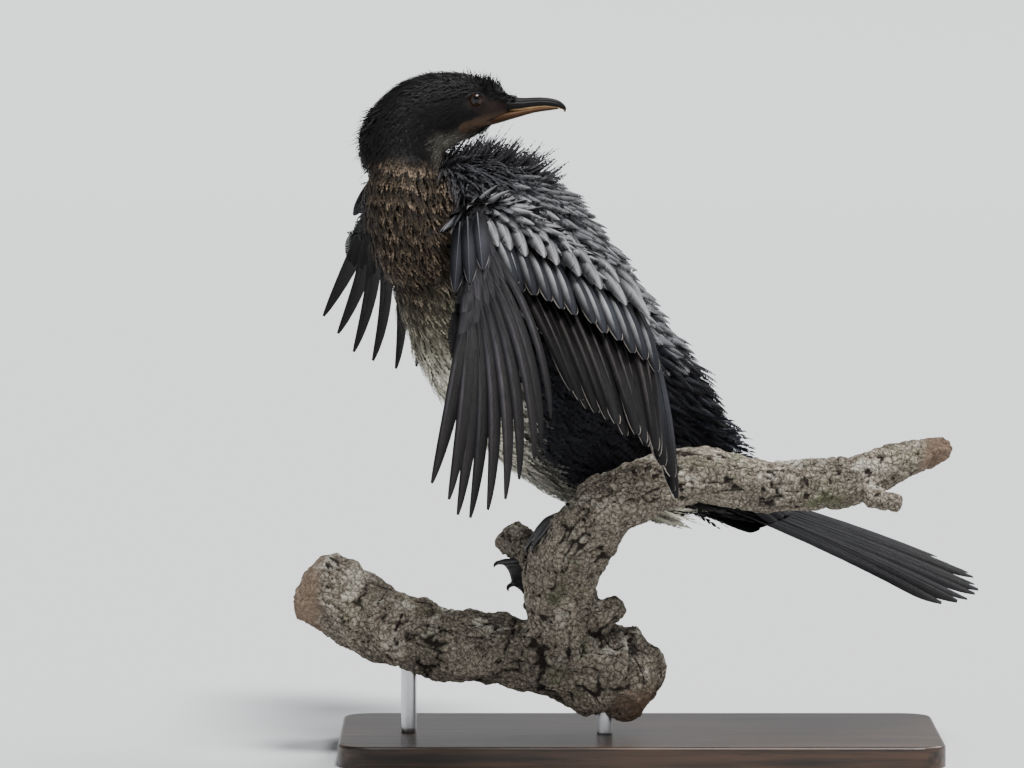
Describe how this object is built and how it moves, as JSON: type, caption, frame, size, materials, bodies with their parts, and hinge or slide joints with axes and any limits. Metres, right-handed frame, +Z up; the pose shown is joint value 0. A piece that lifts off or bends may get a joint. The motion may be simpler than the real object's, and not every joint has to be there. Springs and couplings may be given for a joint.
{
  "type": "cormorant model on a perch",
  "caption": "Life-size still model of a young reed cormorant drying its wings on a cut branch, looking back over its back, held by a display stand.",
  "frame": {"origin": "centre of the underside of the stand's base", "axes": "+Z up, -Y towards the viewer of the bird's left side, -X the way the breast faces, +X the way the tail and the bill point"},
  "size_m": [0.3157, 0.3997, 0.3125],
  "materials": {
    "coat_black": "soft matte feathers",
    "coat_neck": "soft matte feathers",
    "coat_body": "soft matte feathers",
    "wing_feathers": "silver-grey feathers with a low sheen",
    "flight_feathers": "dark smooth vanes with a low sheen",
    "eye": "wet gloss",
    "bill_dark": "horn, satin",
    "bill_pale": "horn, satin",
    "foot_skin": "scaly, satin",
    "bark": "weathered, cracked bark",
    "base_wood": "dark satin varnish",
    "rod_steel": "brushed"
  },
  "bodies": {
    "root": {"torso": "coat_body", "neck": "coat_neck", "head": "coat_black", "bill_upper": "bill_dark", "bill_lower": "bill_pale", "eye_left": "eye", "eye_right": "eye", "wing_left_arm": "wing_feathers", "wing_left_hand": "flight_feathers", "wing_right_arm": "wing_feathers", "wing_right_hand": "flight_feathers", "tail": "flight_feathers", "leg_left": "coat_black", "leg_right": "coat_black", "foot_left": "foot_skin", "foot_right": "foot_skin", "perch_branch": "bark", "stand_base": "base_wood", "stand_rod_knob": "rod_steel", "stand_rod_limb": "rod_steel"}
  },
  "joints": []
}
